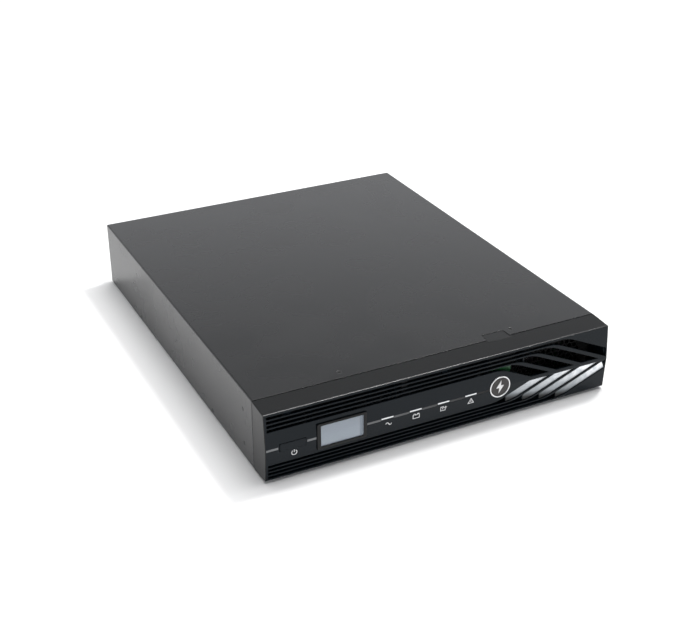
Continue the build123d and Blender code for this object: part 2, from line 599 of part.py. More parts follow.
# ---------------------------------------------------------------- battery drawer
def make_battery_tray():
    """The drawer: floor, front plate, low lips, two thumb screws and a plug at the back."""
    left, right = PACK_LEFT - 2, PACK_RIGHT + 2
    floor = (SHEET + 0.05, PACK_FLOOR - 0.05)
    plate = (Y_SEAM + 0.2, Y_SEAM + 1.4)
    with BuildPart() as tray:
        block((left, right), (plate[0], TRAY_REAR), floor)
        block((left - 3.5, right + 2.6), plate, (floor[0], 75.2))
        block((left, right), (TRAY_REAR - SHEET, TRAY_REAR), (floor[0], 26.0))
        for x in ((left, left + SHEET), (right - SHEET, right)):
            block(x, (plate[0], TRAY_REAR), (floor[0], 14.0))
        for x in TRAY_SCREW_X:
            rod(M3 + GAP, (x, plate[0] - 1, TRAY_SCREW_Z), (x, plate[1] + 1, TRAY_SCREW_Z), Mode.SUBTRACT)
        with BuildSketch(Plane.XZ.offset(-plate[0] + 1)):
            with Locations((-52.0, 40.0)):
                SlotOverall(90, 24)
        extrude(amount=-4, mode=Mode.SUBTRACT)
        block(around(LEAD_X, 11.0), (TRAY_REAR - 2, TRAY_REAR + 1), (9.0, 23.0), Mode.SUBTRACT)
    save(tray.part, "battery_tray")
    with BuildPart() as knobs:
        for x in TRAY_SCREW_X:
            rod(M3, (x, Y_SEAM - 1, TRAY_SCREW_Z), (x, Y_SEAM + 5, TRAY_SCREW_Z))
            rod(3.2, (x, Y_SEAM - 1.2, TRAY_SCREW_Z), (x, plate[0] - 0.02, TRAY_SCREW_Z))
            rod(4.6, (x, Y_SEAM - 7.5, TRAY_SCREW_Z), (x, Y_SEAM - 1, TRAY_SCREW_Z))
    save(knobs.part, "tray_thumb_screws")


def cell_places():
    """The low corner of each battery, and which way its terminals look along y."""
    places = []
    for row, facing in ((0, 1), (1, -1)):
        for column in (0, 1):
            x = PACK_LEFT + column * (CELL[0] + CELL_GAP)
            y = PACK_FRONT + row * (CELL[1] + TERMINAL_GAP)
            places.append((x, y, facing, column))
    return places


def make_batteries():
    """Four sealed lead batteries on their sides, their terminals, links and leads, and the plug."""
    with BuildPart() as cells:
        for x, y, facing, _ in cell_places():
            with BuildSketch(Plane.XZ.offset(-y)):
                with Locations((x + CELL[0] / 2, PACK_FLOOR + CELL[2] / 2)):
                    RectangleRounded(CELL[0], CELL[2], 2.0)
            extrude(amount=-CELL[1])
            line = y + 14.0 if facing < 0 else y + CELL[1] - 14.0
            for high in (PACK_FLOOR + CELL[2], PACK_FLOOR):
                block((x - 1, x + CELL[0] + 1), around(line, 0.5), around(high, 0.5), Mode.SUBTRACT)
            for side in (x, x + CELL[0]):
                block(around(side, 0.5), around(line, 0.5), (PACK_FLOOR, PACK_FLOOR + CELL[2]), Mode.SUBTRACT)
    save(cells.part, "batteries")
    face = {1: PACK_FRONT + CELL[1], -1: PACK_FRONT + CELL[1] + TERMINAL_GAP}
    with BuildPart() as tabs:
        for _, _, facing, column in cell_places():
            for z in TAB_Z:
                y = sorted((face[facing], face[facing] + 6.0 * facing))
                block(around(TAB_X[column], 0.4), y, around(z, 3.1))
    save(tabs.part, "battery_terminals")
    low, high = TAB_Z
    with BuildPart() as wires:
        for facing in (1, -1):
            y = face[facing] + 4.0 * facing
            rod(1.7, (TAB_X[0] + 0.4, y, high), (TAB_X[1] - 0.4, y, high))
        y = (face[1] + 2.0, face[-1] - 2.0)
        block((TAB_X[1] + 0.4, TAB_X[1] + 3.4), y, around(low, 1.8))
        for facing, step in ((1, -3.0), (-1, 3.0)):
            start = face[facing] + 3.4 * facing
            z = low + step
            rod(1.5, (TAB_X[0] + 0.4, start, z), (LEAD_X + 1.9, start, z))
            rod(1.4, (LEAD_X, start - 0.8, z), (LEAD_X, TRAY_REAR - SHEET - 1, z))
    save(wires.part, "battery_wires")
    x = around(LEAD_X, 10.8)
    with BuildPart() as plug:
        block(x, (TRAY_REAR - SHEET - 4.0, TRAY_REAR + 12.0), (9.2, 22.8))
        block(around(LEAD_X, 13.0), (TRAY_REAR - SHEET - 3.0, TRAY_REAR - SHEET - 0.1), (6.0, 24.8))
        for side in (-5.2, 5.2):
            block(around(LEAD_X + side, 2.5), (TRAY_REAR + 4, TRAY_REAR + 13), (12.5, 19.5), Mode.SUBTRACT)
        block(around(LEAD_X, 4.0), (TRAY_REAR - 10, TRAY_REAR - SHEET - 0.9), (9.0, 23.0), Mode.SUBTRACT)
    save(plug.part, "battery_plug")
    with BuildPart() as socket:
        block(around(LEAD_X, 15.0), (TRAY_REAR + 2.0, TRAY_REAR + 20.0), (5.0, 27.0))
        block(around(LEAD_X, 22.0), (TRAY_REAR + 8.0, TRAY_REAR + 20.0), (SHEET, 5.0))
        block(around(LEAD_X, 11.3), (TRAY_REAR + 1.0, TRAY_REAR + 14.0), (8.7, 23.3), Mode.SUBTRACT)
        for side in (-5.2, 5.2):
            block(around(LEAD_X + side, 2.0), (TRAY_REAR + 5.5, TRAY_REAR + 15.0), (13.2, 18.8))
    save(socket.part, "battery_socket")


# ---------------------------------------------------------------- rear
def make_rear_panel():
    """The rear sheet with its cut-outs, folded in at the bottom, top and sides."""
    outer, top = INNER - GAP, CEILING - GAP
    low = SHEET + GAP
    with BuildPart() as panel:
        block((-outer, outer), (Y_PANEL_IN, Y_PANEL), (low, top))
        block((-outer + 1.4, outer - 1.4), (Y_PANEL_IN - 12.0, Y_PANEL_IN), (low, low + SHEET))
        block((-outer + 1, outer - 1), (Y_PANEL_IN - 8.0, Y_PANEL_IN), (top - SHEET, top))
        for x, y in BASE_SCREWS[4:]:
            rod(M3 + GAP, (x, y, 0), (x, y, 4), Mode.SUBTRACT)
        for x in FAN_X:
            rod(FAN_BORE + 0.5, (x, Y_PANEL_IN - 1, FAN_Z), (x, Y_PANEL + 1, FAN_Z), Mode.SUBTRACT)
            for spot_x, spot_z in fan_corners(x):
                rod(M4 + GAP, (spot_x, Y_PANEL_IN - 1, spot_z), (spot_x, Y_PANEL + 1, spot_z), Mode.SUBTRACT)
        cuts = [(OUTLET_X, z, OUTLET_PITCH * 3 - 4.0, 26.0) for z in OUTLET_Z]
        cuts += [(INLET_X, INLET_Z, 29.0, 21.0), (CARD_X, CARD_Z, *CARD_SIZE)]
        cuts += [(SERIAL_X, SERIAL_Z, 19.4, 11.4), (USB_X, USB_Z, 13.0, 12.0)]
        cuts += [(JACK_X, JACK_Z, 33.0, 15.0), (EPO_X, EPO_Z, 13.0, 10.0)]
        for x, z, wide, high in cuts:
            block(around(x, wide / 2), (Y_PANEL_IN - 1, Y_PANEL + 1), around(z, high / 2), Mode.SUBTRACT)
        holes = [(BREAKER_X, BREAKER_Z, 6.2), (STUD_X, STUD_Z, 2.6)]
        holes += [(INLET_X + side * 20.0, INLET_Z, M3 + GAP) for side in (-1, 1)]
        holes += [(SERIAL_X + side * 12.5, SERIAL_Z, M3 + GAP) for side in (-1, 1)]
        holes += [(CARD_X + side * CARD_SCREW, CARD_Z, M3 + GAP) for side in (-1, 1)]
        for x, z, radius in holes:
            rod(radius, (x, Y_PANEL_IN - 1, z), (x, Y_PANEL + 1, z), Mode.SUBTRACT)
    save(panel.part, "rear_panel")


def fan_corners(x):
    """The four screw places of a fan, as x and z."""
    return [(x + a * FAN_PITCH, FAN_Z + b * FAN_PITCH) for a in (-1, 1) for b in (-1, 1)]


def make_fans():
    """Two fans: frames with three spokes, rotors with seven blades, wire guards and screws."""
    front, rear = Y_PANEL_IN - FAN_DEEP, Y_PANEL_IN - 0.05
    with BuildPart() as frames:
        for x in FAN_X:
            with BuildSketch(Plane.XZ.offset(-front)):
                with Locations((x, FAN_Z)):
                    RectangleRounded(FAN_SIZE, FAN_SIZE, 4.0)
                    Circle(FAN_BORE, mode=Mode.SUBTRACT)
                with Locations(fan_corners(x)):
                    Circle(M4 + GAP, mode=Mode.SUBTRACT)
            extrude(amount=front - rear)
            for angle in (30, 150, 270):
                spoke = Plane(origin=(x, rear - 1.6, FAN_Z), z_dir=(0, 1, 0)).location * Rotation(0, 0, angle)
                with Locations(spoke * Location((27.0, 0, 0))):
                    Box(25.0, 3.6, 3.2)
            rod(15.0, (x, rear - 3.2, FAN_Z), (x, rear, FAN_Z))
            rod(3.4, (x, rear - 12.0, FAN_Z), (x, rear - 3, FAN_Z))
            rod(1.55, (x, rear - 13.0, FAN_Z), (x, rear - 2.0, FAN_Z), Mode.SUBTRACT)
    save(frames.part, "fan_frames")
    for x, side in zip(FAN_X, ("left", "right")):
        with BuildPart() as rotor:
            rod(16.0, (x, front + 1.2, FAN_Z), (x, rear - 4.4, FAN_Z))
            rod(13.6, (x, front + 3.2, FAN_Z), (x, rear - 3, FAN_Z), Mode.SUBTRACT)
            rod(1.5, (x, front + 2.0, FAN_Z), (x, rear - 2.6, FAN_Z))
            rod(3.6, (x, front + 2.0, FAN_Z), (x, rear - 13.0, FAN_Z))
            hub = Plane(origin=(x, (front + rear) / 2 - 1.6, FAN_Z), z_dir=(0, 1, 0)).location
            for blade in range(7):
                pitch = Location((25.3, 0, 0), (38, 0, 0))
                with Locations(hub * Rotation(0, 0, blade * 360 / 7) * pitch):
                    Box(20.0, 19.0, 1.5)
        save(rotor.part, f"fan_rotor_{side}")
    with BuildPart() as guards:
        with BuildSketch(Plane.XZ.offset(-Y_PANEL - 0.05)):
            for x in FAN_X:
                with Locations((x, FAN_Z)):
                    for radius in (34.5, 26.0, 17.5, 9.0):
                        Circle(radius + 0.8)
                        Circle(radius - 0.8, mode=Mode.SUBTRACT)
                    for turn in (45, 135):
                        for side in (-1, 1):
                            with Locations(Location((0, 0, 0), (0, 0, turn))):
                                with Locations((side * 28.5, 0)):
                                    Rectangle(39.0, 2.0)
                with Locations(fan_corners(x)):
                    Circle(3.9)
                    Circle(M4 + GAP, mode=Mode.SUBTRACT)
        extrude(amount=-1.5)
    save(guards.part, "fan_guards")
    heads = [(a, Y_PANEL + 1.6, b) for x in FAN_X for a, b in fan_corners(x)]
    save(screws(heads, (0, 1, 0), 10.0, 3.6, M4, 2.0), "fan_screws")


def make_mains_parts():
    """Mains inlet, two strips of three outlets, a reset breaker and the ground stud."""
    with BuildPart() as inlet:
        block(around(INLET_X, 24.6), (Y_PANEL + 0.05, Y_PANEL + 2.6), around(INLET_Z, 12.0))
        fillet(inlet.edges().filter_by(Axis.Y), 3.0)
        block(around(INLET_X, 14.0), (Y_PANEL - 20.0, Y_PANEL + 0.05), around(INLET_Z, 10.0))
        with BuildSketch(rear_plane(INLET_X, INLET_Z, Y_PANEL + 3)):
            RectangleRounded(24.6, 16.8, 1.5)
        extrude(amount=-20.0, mode=Mode.SUBTRACT)
        for side in (-1, 1):
            x = INLET_X + side * 20.0
            rod(M3 + GAP, (x, Y_PANEL - 1, INLET_Z), (x, Y_PANEL + 4, INLET_Z), Mode.SUBTRACT)
        for x, z in INLET_PINS:
            hole = (around(INLET_X + x, 1.05), around(INLET_Z + z, 2.05))
            block(hole[0], (Y_PANEL - 21.0, Y_PANEL - 15.0), hole[1], Mode.SUBTRACT)
    save(inlet.part, "mains_inlet")
    with BuildPart() as pins:
        for x, z in INLET_PINS:
            block(around(INLET_X + x, 1.0), (Y_PANEL - 26.0, Y_PANEL - 0.5), around(INLET_Z + z, 2.0))
    save(pins.part, "mains_inlet_pins")
    deep = Y_PANEL - 21.0
    with BuildPart() as strips:
        for z in OUTLET_Z:
            with BuildSketch(rear_plane(OUTLET_X, z, Y_PANEL + 0.05)):
                RectangleRounded(OUTLET_PITCH * 3 - 1.0, 29.2, 1.6)
            extrude(amount=2.35)
            block(around(OUTLET_X, OUTLET_PITCH * 1.5 - 2.2), (deep, Y_PANEL + 0.05), around(z, 12.8))
            for place in (-1, 0, 1):
                x = OUTLET_X + place * OUTLET_PITCH
                with BuildSketch(rear_plane(x, z, Y_PANEL + 3)):
                    outlet_outline(28.6, 20.8, 4.6)
                    outlet_outline(24.0, 16.2, 4.0, Mode.SUBTRACT)
                extrude(amount=-20.5, mode=Mode.SUBTRACT)
                for slot_x, slot_z in ((-7.0, 2.0), (0.0, -2.0), (7.0, 2.0)):
                    slot = (around(x + slot_x, 1.3), around(z + slot_z, 2.6))
                    block(slot[0], (Y_PANEL - 13.0, Y_PANEL + 3), slot[1], Mode.SUBTRACT)
    save(strips.part, "outlet_strips")
    with BuildPart() as body:
        rod(6.0, (BREAKER_X, Y_PANEL - 3.0, BREAKER_Z), (BREAKER_X, Y_PANEL + 0.4, BREAKER_Z))
        rod(8.4, (BREAKER_X, Y_PANEL + 0.05, BREAKER_Z), (BREAKER_X, Y_PANEL + 3.0, BREAKER_Z))
        block(around(BREAKER_X, 8.0), (Y_PANEL - 32.0, Y_PANEL_IN - 1.4), around(BREAKER_Z, 15.0))
        rod(4.6, (BREAKER_X, Y_PANEL - 16.0, BREAKER_Z), (BREAKER_X, Y_PANEL + 4, BREAKER_Z), Mode.SUBTRACT)
    save(body.part, "breaker_body")
    with BuildPart() as button:
        rod(4.52, (BREAKER_X, Y_PANEL - 14.0, BREAKER_Z), (BREAKER_X, Y_PANEL + 5.4, BREAKER_Z))
        fillet(button.faces().sort_by(Axis.Y)[-1].edges(), 0.8)
    save(button.part, "breaker_button")
    with BuildPart() as stud:  # its shank is drawn at the thread's pitch radius
        rod(2.25, (STUD_X, Y_PANEL_IN - 8.0, STUD_Z), (STUD_X, Y_PANEL + 2.0, STUD_Z))
        rod(2.5, (STUD_X, Y_PANEL + 1.8, STUD_Z), (STUD_X, Y_REAR + REAR_PROUD, STUD_Z))
        chamfer(stud.faces().sort_by(Axis.Y)[-1].edges(), 0.4)
    save(stud.part, "ground_stud")
    with BuildPart() as nuts:
        for y in (Y_PANEL_IN - 4.2, Y_PANEL + 0.1):
            with BuildSketch(rear_plane(STUD_X, STUD_Z, y)):
                RegularPolygon(4.6, 6)
                Circle(2.3, mode=Mode.SUBTRACT)
            extrude(amount=1.6 if y > Y_PANEL else 4.0)
    save(nuts.part, "ground_nuts")


def outlet_outline(wide, high, cut, mode=Mode.ADD):
    """An appliance outlet's outline: a rectangle with its two lower corners cut off."""
    x, z = wide / 2, high / 2
    with BuildLine() as outline:
        Polyline((-x, z), (x, z), (x, cut - z), (x - cut, -z), (cut - x, -z), (-x, cut - z), close=True)
    make_face(outline.edges(), mode=mode)


def make_signal_parts():
    """Card bay cover, serial and USB sockets, line jacks and the emergency-off header."""
    with BuildPart() as cover:
        block(around(CARD_X, CARD_SCREW + 5.0), (Y_PANEL + 0.05, Y_PANEL + 1.25), around(CARD_Z, 15.0))
        for side in (-1, 1):
            x = CARD_X + side * CARD_SCREW
            rod(M3 + GAP, (x, Y_PANEL - 1, CARD_Z), (x, Y_PANEL + 3, CARD_Z), Mode.SUBTRACT)
        for row in (-6.0, 0.0, 6.0):
            with Locations((CARD_X, Y_PANEL + 0.6, CARD_Z + row)):
                with GridLocations(14.0, 1.0, 5, 1):
                    Box(9.0, 4.0, 2.4, mode=Mode.SUBTRACT)
    save(cover.part, "card_bay_cover")
    with BuildPart() as knobs:
        for side in (-1, 1):
            x = CARD_X + side * CARD_SCREW
            rod(M3, (x, Y_PANEL - 4.0, CARD_Z), (x, Y_PANEL + 2, CARD_Z))
            rod(3.8, (x, Y_PANEL + 1.3, CARD_Z), (x, Y_PANEL + 5.6, CARD_Z))
    save(knobs.part, "card_bay_thumb_screws")
    with BuildPart() as data:
        block(around(SERIAL_X, 15.4), (Y_PANEL + 0.05, Y_PANEL + 1.2), around(SERIAL_Z, 6.2))
        with BuildSketch(rear_plane(SERIAL_X, SERIAL_Z, Y_PANEL - 9.0)):
            with BuildLine():
                FilletPolyline((-8.4, 4.0), (8.4, 4.0), (7.2, -4.0), (-7.2, -4.0), radius=1.6, close=True)
            make_face()
        extrude(amount=14.4)
        with BuildSketch(rear_plane(SERIAL_X, SERIAL_Z, Y_PANEL + 6.0)):
            with Locations((0, 1.4)):
                with GridLocations(2.77, 1.0, 5, 1):
                    Circle(0.6)
            with Locations((0, -1.4)):
                with GridLocations(2.77, 1.0, 4, 1):
                    Circle(0.6)
        extrude(amount=-6.0, mode=Mode.SUBTRACT)
        for side in (-1, 1):
            x = SERIAL_X + side * 12.5
            rod(M3 + GAP, (x, Y_PANEL - 1, SERIAL_Z), (x, Y_PANEL + 3, SERIAL_Z), Mode.SUBTRACT)
        block(around(USB_X, 6.2), (Y_PANEL - 16.0, Y_PANEL + 0.8), around(USB_Z, 5.7))
        block(around(USB_X, 4.4), (Y_PANEL - 9.0, Y_PANEL + 2.0), around(USB_Z, 4.1), Mode.SUBTRACT)
        block(around(USB_X, 2.8), (Y_PANEL - 9.0, Y_PANEL - 0.4), around(USB_Z, 1.6))
    save(data.part, "data_sockets")
    with BuildPart() as jacks:
        block(around(JACK_X, 16.2), (Y_PANEL - 16.0, Y_PANEL + 0.8), around(JACK_Z, 7.2))
        for side in (-1, 1):
            x = JACK_X + side * 8.0
            block(around(x, 5.95), (Y_PANEL - 12.0, Y_PANEL + 2.0), around(JACK_Z, 3.6), Mode.SUBTRACT)
            block(around(x, 3.0), (Y_PANEL - 12.0, Y_PANEL + 2.0), (JACK_Z - 5.6, JACK_Z), Mode.SUBTRACT)
    save(jacks.part, "surge_protected_jacks")
    with BuildPart() as header:
        block(around(EPO_X, 6.2), (Y_PANEL - 12.0, Y_PANEL + 1.0), around(EPO_Z, 4.7))
        block(around(EPO_X, 5.2), (Y_PANEL - 6.0, Y_PANEL + 2.0), around(EPO_Z, 3.7), Mode.SUBTRACT)
    save(header.part, "emergency_off_header")


# ---------------------------------------------------------------- electronics
def board_spots(x, y):
    """Standoff places near a board's corners and the middles of its long sides."""
    return [(a, b) for a in (x[0] + 6, x[1] - 6) for b in (y[0] + 6, (y[0] + y[1]) / 2, y[1] - 6)]


def make_boards():
    """Main board and power board on threaded standoffs, and the round-headed screws."""
    top = BOARD_Z + BOARD_THICK
    spots = board_spots(MAIN_X, MAIN_Y) + board_spots(POWER_X, POWER_Y)
    for name, x, y in (("main_board", MAIN_X, MAIN_Y), ("power_board", POWER_X, POWER_Y)):
        with BuildPart() as board:
            block(x, y, (BOARD_Z, top))
            for a, b in board_spots(x, y):
                rod(M3 + GAP, (a, b, BOARD_Z - 1), (a, b, top + 1), Mode.SUBTRACT)
        save(board.part, name)
    with BuildPart() as standoffs:
        for a, b in spots:
            rod(2.8, (a, b, SHEET), (a, b, BOARD_Z))
            rod(M3, (a, b, BOARD_Z - 5.5), (a, b, BOARD_Z + 1), Mode.SUBTRACT)
    save(standoffs.part, "board_standoffs")
    sockets = [(INLET_X + side * 20.0, Y_PANEL + 2.6, INLET_Z) for side in (-1, 1)]
    sockets += [(SERIAL_X + side * 12.5, Y_PANEL + 1.2, SERIAL_Z) for side in (-1, 1)]
    with BuildPart() as every:
        add(screws([(a, b, top) for a, b in spots], (0, 0, 1), 6.0, 2.6, M3, 1.8))
        add(screws(sockets, (0, 1, 0), 6.0, 2.6, M3, 1.8))
    save(every.part, "round_head_screws")


def make_power_parts():
    """Heat sinks, transistors, capacitors, wound parts and relays."""
    top = BOARD_Z + BOARD_THICK
    with BuildPart() as sinks:
        for x, y, long in HEAT_SINKS:
            block((x, x + 5.0), (y, y + long), (top, top + 52.0))
            for level in range(9):
                z = top + 3.0 + level * 5.6
                block((x + 5.0, x + 27.0), (y, y + long), (z, z + 1.6))
    save(sinks.part, "heat_sinks")
    with BuildPart() as transistors:
        for x, y, long in HEAT_SINKS:
            for number in range(int(long // 24)):
                place = y + 12.0 + number * 24.0
                block((x - 5.0, x), around(place, 7.8), (top + 8.0, top + 28.0))
                for leg in (-5.4, 0.0, 5.4):
                    block((x - 3.2, x - 2.6), around(place + leg, 0.6), (top, top + 8.0))
    save(transistors.part, "power_transistors")
    with BuildPart() as cans:
        for x, y in CAPACITORS:
            rod(15.0, (x, y, top), (x, y, top + 46.0))
            with Locations((x, y, top + 3.5)):
                Torus(15.6, 1.3, mode=Mode.SUBTRACT)
            for turn in (0, 60, 120):
                with Locations(Location((x, y, top + 46.0), (0, 0, turn))):
                    Box(14.0, 0.6, 0.8, mode=Mode.SUBTRACT)
    save(cans.part, "bus_capacitors")
    x, y = TRANSFORMER
    with BuildPart() as cores:
        block(around(x, 33.0), around(y, 14.0), (top + 2.0, top + 58.0))
        block(around(x, 24.0), around(y, 15.0), (top + 11.0, top + 49.0), Mode.SUBTRACT)
        block(around(x, 10.0), around(y, 14.0), (top + 10.0, top + 50.0))
        for choke_x, choke_y in CHOKES:
            with Locations(Location((choke_x, choke_y, top + 25.0), (90, 0, 0))):
                Torus(17.5, 5.6)
    save(cores.part, "ferrite_cores")
    with BuildPart() as windings:
        with BuildSketch(Plane.XY.offset(top + 13.0)):
            with Locations((x, y)):
                RectangleRounded(47.0, 46.0, 6.0)
        extrude(amount=34.0)
        for z in (top + 11.2, top + 46.6):
            block(around(x, 23.8), around(y, 24.5), (z, z + 2.2))
        block(around(x, 10.2), around(y, 14.2), (top, top + 60.0), Mode.SUBTRACT)
        for side in (-1, 1):
            block(around(x, 22.0), around(y + side * 20.0, 3.0), (top, top + 11.4))
        for choke_x, choke_y in CHOKES:
            for turn in range(14):
                angle = math.radians(turn * 22.0 - 53.0)
                across, up = 17.5 * math.cos(angle), 17.5 * math.sin(angle)
                along = Vector(-math.sin(angle), 0, math.cos(angle))
                with Locations(Plane(origin=(choke_x + across, choke_y, top + 25.0 + up), z_dir=along)):
                    Cylinder(7.4, 2.6)
                    Cylinder(5.8, 3.0, mode=Mode.SUBTRACT)
    save(windings.part, "windings")
    with BuildPart() as relays:
        with BuildSketch(Plane.XY.offset(top)):
            with Locations(RELAYS):
                RectangleRounded(29.0, 12.8, 0.8)
        extrude(amount=25.0)
    save(relays.part, "output_relays")


def make_inner_cables():
    """Cables in the case: the front ribbon, the battery cables and the mains wires."""
    board = BOARD_Z + BOARD_THICK
    with BuildPart() as cables:
        y = (Y_SEAM + 12.0, MAIN_Y[0] + 24.0)
        block((-50.5, -43.5), y, (78.6, 79.2))
        block((-50.5, -43.5), (y[1] - 0.6, y[1]), (board, 79.2))
        for side in (-5.2, 5.2):
            x, y = LEAD_X + side, TRAY_REAR + 20.0
            with BuildLine() as battery_path:
                FilletPolyline(
                    (x, y, 16.0),
                    (x, y + 16, 16.0),
                    (x, y + 30, 24.0),
                    (x, y + 42, 24.0),
                    (x, y + 42, board),
                    radius=4.0,
                )
            with BuildSketch(Plane(origin=battery_path.line @ 0, z_dir=battery_path.line % 0)):
                Circle(2.6)
            sweep(path=battery_path.line)
        for number, z in enumerate((20.0, 28.0, 24.0)):
            x = INLET_X - 7.0 + 7.0 * number
            with BuildLine() as mains_path:
                FilletPolyline(
                    (x, Y_PANEL - 26.8, INLET_Z + (2.0 if number == 1 else -2.0)),
                    (x, Y_PANEL - 38.0, z),
                    (x, MAIN_Y[1] - 16.0, z),
                    (x, MAIN_Y[1] - 16.0, board),
                    radius=4.0,
                )
            with BuildSketch(Plane(origin=mains_path.line @ 0, z_dir=mains_path.line % 0)):
                Circle(1.7)
            sweep(path=mains_path.line)
    save(cables.part, "inner_cables")


for make in (
    make_top_cover,
    make_case_screws,
    make_chassis_base,
    make_front_bulkhead,
    make_partition,
    make_bezel,
    make_bezel_trim,
    make_display,
    make_front_plug,
    make_power_button,
    make_battery_tray,
    make_batteries,
    make_rear_panel,
    make_fans,
    make_mains_parts,
    make_signal_parts,
    make_boards,
    make_power_parts,
    make_inner_cables,
):
    make()
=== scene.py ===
"""The looks of a two-unit uninterruptible power supply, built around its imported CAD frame."""

import math

import bmesh
import bpy
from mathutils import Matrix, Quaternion, Vector


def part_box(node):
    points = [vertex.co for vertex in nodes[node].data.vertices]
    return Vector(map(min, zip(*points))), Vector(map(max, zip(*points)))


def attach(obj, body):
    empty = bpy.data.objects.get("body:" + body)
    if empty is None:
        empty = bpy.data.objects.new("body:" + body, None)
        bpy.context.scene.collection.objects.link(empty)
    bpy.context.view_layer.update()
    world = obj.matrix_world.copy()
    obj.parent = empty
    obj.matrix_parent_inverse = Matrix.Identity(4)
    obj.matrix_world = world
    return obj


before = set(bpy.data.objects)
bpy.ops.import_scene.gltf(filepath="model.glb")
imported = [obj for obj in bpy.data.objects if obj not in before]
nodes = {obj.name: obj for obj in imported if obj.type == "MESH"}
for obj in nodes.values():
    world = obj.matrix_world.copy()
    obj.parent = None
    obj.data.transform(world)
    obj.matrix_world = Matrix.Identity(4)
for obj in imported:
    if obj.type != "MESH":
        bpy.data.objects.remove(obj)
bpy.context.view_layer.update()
scene = bpy.context.scene
MM = 0.001

# ---------------------------------------------------------------- camera
AZIMUTH, ELEVATION, ROLL = map(math.radians, (-26.28, 27.84, -0.2))
DISTANCE = 1.64855
AIM = Vector((0.0223, 0.0358, 0.0))
LENS, SENSOR_WIDTH = 65.47, 36.0  # millimetres


def make_camera():
    """The camera at the photograph's angle."""
    level = math.cos(ELEVATION)
    back = Vector((math.sin(AZIMUTH) * level, -math.cos(AZIMUTH) * level, math.sin(ELEVATION)))
    camera = bpy.data.objects.new("camera", bpy.data.cameras.new("camera"))
    scene.collection.objects.link(camera)
    camera.data.sensor_width = SENSOR_WIDTH
    camera.data.lens = LENS
    camera.location = AIM + back * DISTANCE
    camera.rotation_mode = "QUATERNION"
    turn = Quaternion((0, 0, 1), ROLL)
    camera.rotation_quaternion = (-back).to_track_quat("-Z", "Y") @ turn
    scene.camera = camera


make_camera()


# ---------------------------------------------------------------- materials
class Nodes:
    """A short way to write a material's node tree."""

    def __init__(self, name):
        self.material = bpy.data.materials.new(name)
        self.material.use_nodes = True
        self.tree = self.material.node_tree
        self.shader = self.tree.nodes["Principled BSDF"]
        self.space = self.new("ShaderNodeTexCoord").outputs["Object"]

    def new(self, kind, **settings):
        """A node, with its properties set and its inputs set or linked by name or number."""
        node = self.tree.nodes.new(kind)
        for key, value in settings.items():
            if key == "inputs":
                for socket, given in value.items():
                    self.feed(node.inputs[socket], given)
            else:
                setattr(node, key, value)
        return node

    def feed(self, socket, given):
        """Links an output to a socket, or sets the socket's own value."""
        if isinstance(given, bpy.types.NodeSocket):
            self.tree.links.new(given, socket)
        else:
            socket.default_value = given

    def noise(self, scale, detail=3.0):
        """Noise in the object's own space, at a scale in cells per metre."""
        inputs = {"Vector": self.space, "Scale": scale, "Detail": detail, "Roughness": 0.55}
        return self.new("ShaderNodeTexNoise", inputs=inputs).outputs["Fac"]

    def ramp(self, value, low, high, start=0.0, stop=1.0):
        """Goes from low to high, and no further, as the value goes from start to stop."""
        inputs = {"Value": value, "From Min": start, "From Max": stop}
        inputs.update({"To Min": low, "To Max": high})
        return self.new("ShaderNodeMapRange", inputs=inputs).outputs["Result"]

    def calc(self, operation, *values):
        """One step of arithmetic on outputs or numbers."""
        node = self.new("ShaderNodeMath", operation=operation, inputs=dict(enumerate(values)))
        return node.outputs[0]

    def place(self):
        """The place in the object's own space, as X, Y and Z outputs by name."""
        return self.new("ShaderNodeSeparateXYZ", inputs={"Vector": self.space}).outputs

    def mix(self, factor, first, second):
        """A colour between two, by a factor."""
        node = self.new("ShaderNodeMix", data_type="RGBA", clamp_factor=True)
        self.feed(node.inputs[0], factor)
        self.feed(node.inputs[6], first)
        self.feed(node.inputs[7], second)
        return node.outputs[2]

    def bump(self, height, distance, edge=0.0):
        """Bump from a height, over edges rounded by the Bevel node where edge is a radius."""
        inputs = {"Height": height, "Distance": distance, "Strength": 1.0}
        node = self.new("ShaderNodeBump", inputs=inputs)
        if edge:
            rounded = self.new("ShaderNodeBevel", samples=4, inputs={"Radius": edge})
            self.feed(node.inputs["Normal"], rounded.outputs["Normal"])
        self.feed(self.shader.inputs["Normal"], node.outputs["Normal"])

    def set(self, **values):
        """Sets or links the shader's inputs, named with underscores."""
        for key, value in values.items():
            self.feed(self.shader.inputs[key.replace("_", " ")], value)


def rgb(red, green, blue):
    """A colour with full alpha."""
    return (red, green, blue, 1.0)


def grey(value, blue=0.0):
    """A neutral colour, a little blue if asked."""
    return rgb(value, value * (1 + blue * 0.5), value * (1 + blue))


def shade(colour, share):
    """A colour made darker or lighter by a share."""
    return rgb(*[c * share for c in colour[:3]])


def moulded(name, colour, rough, grain, depth=20e-6, spread=0.12, edge=0.4e-3, **more):
    """Plastic or paint: a fine grain in colour, roughness and height, and softened edges."""
    m = Nodes(name)
    fine = m.noise(grain)
    broad = m.noise(14.0, 2.0)
    m.set(Base_Color=m.mix(fine, shade(colour, 1 - spread), shade(colour, 1 + spread)))
    m.set(Roughness=m.ramp(broad, rough * 0.92, rough * 1.08, 0.3, 0.7))
    m.bump(fine, depth, edge=edge)
    m.set(**more)
    return m.material


